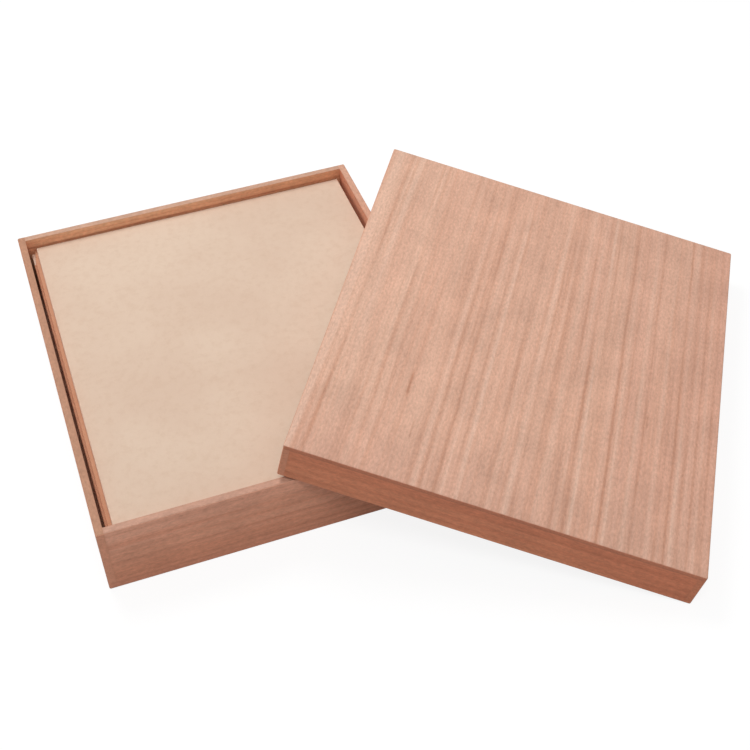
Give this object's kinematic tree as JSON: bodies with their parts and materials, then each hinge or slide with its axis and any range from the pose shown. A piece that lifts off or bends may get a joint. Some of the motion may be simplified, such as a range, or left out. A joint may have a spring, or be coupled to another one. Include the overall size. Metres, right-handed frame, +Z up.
{
  "type": "wooden storage box",
  "caption": "Flat wooden presentation box with a lift-off cap lid leaning on its rim and a paper-covered folder of mounted boards inside.",
  "frame": {"origin": "middle of the box's flat underside", "axes": "+Z up; +X to the right along the box's front wall; +Y from the front wall to the back wall"},
  "size_m": [0.516, 0.445, 0.0884],
  "materials": {
    "pale_wood": "planed, unfinished",
    "panel_wood": "planed, unfinished",
    "peg_wood": "planed, unfinished",
    "cover_paper": "matte paper",
    "mount_card": "matte card"
  },
  "bodies": {
    "box_body": {"box_base": "pale_wood", "box_left_wall": "pale_wood", "box_right_wall": "pale_wood", "box_front_wall": "pale_wood", "box_back_wall": "pale_wood", "box_corner_pegs": "peg_wood", "box_base_pegs": "peg_wood"},
    "lid_body": {"lid_top_panel": "panel_wood", "lid_left_rail": "pale_wood", "lid_right_rail": "pale_wood", "lid_front_rail": "pale_wood", "lid_back_rail": "pale_wood", "lid_corner_pegs": "peg_wood"},
    "folder_body": {"folder_back_board": "cover_paper", "folder_left_side": "cover_paper", "folder_right_side": "cover_paper", "mounted_board_01": "mount_card", "mounted_board_02": "mount_card", "mounted_board_03": "mount_card", "mounted_board_04": "mount_card", "mounted_board_05": "mount_card", "mounted_board_06": "mount_card", "mounted_board_07": "mount_card", "mounted_board_08": "mount_card", "mounted_board_09": "mount_card", "mounted_board_10": "mount_card", "mounted_board_11": "mount_card", "mounted_board_12": "mount_card"},
    "cover_body": {"folder_front_cover": "cover_paper"},
    "flap_body": {"folder_inner_flap": "cover_paper"}
  },
  "joints": [
    {"name": "lid_lift", "type": "slide", "parent": "box_body", "child": "lid_body", "axis": [0, 0, 1], "range_m": [0, 0.3]},
    {"name": "folder_lift", "type": "slide", "parent": "box_body", "child": "folder_body", "axis": [0, 0, 1], "range_m": [0, 0.075]},
    {"name": "cover_open", "type": "hinge", "parent": "folder_body", "child": "cover_body", "pos_m": [0.1233, 0, 0.0448], "axis": [0, 1, 0], "range_deg": [0, 60]},
    {"name": "flap_open", "type": "hinge", "parent": "folder_body", "child": "flap_body", "pos_m": [-0.1227, 0, 0.0421], "axis": [0, -1, 0], "range_deg": [0, 90]}
  ],
  "couplings": [
    {"joint": "folder_lift", "follows": "lid_lift", "ratio": 0.25},
    {"joint": "cover_open", "follows": "lid_lift", "rad_per_m": 3.49},
    {"joint": "flap_open", "follows": "lid_lift", "rad_per_m": 5.23}
  ]
}
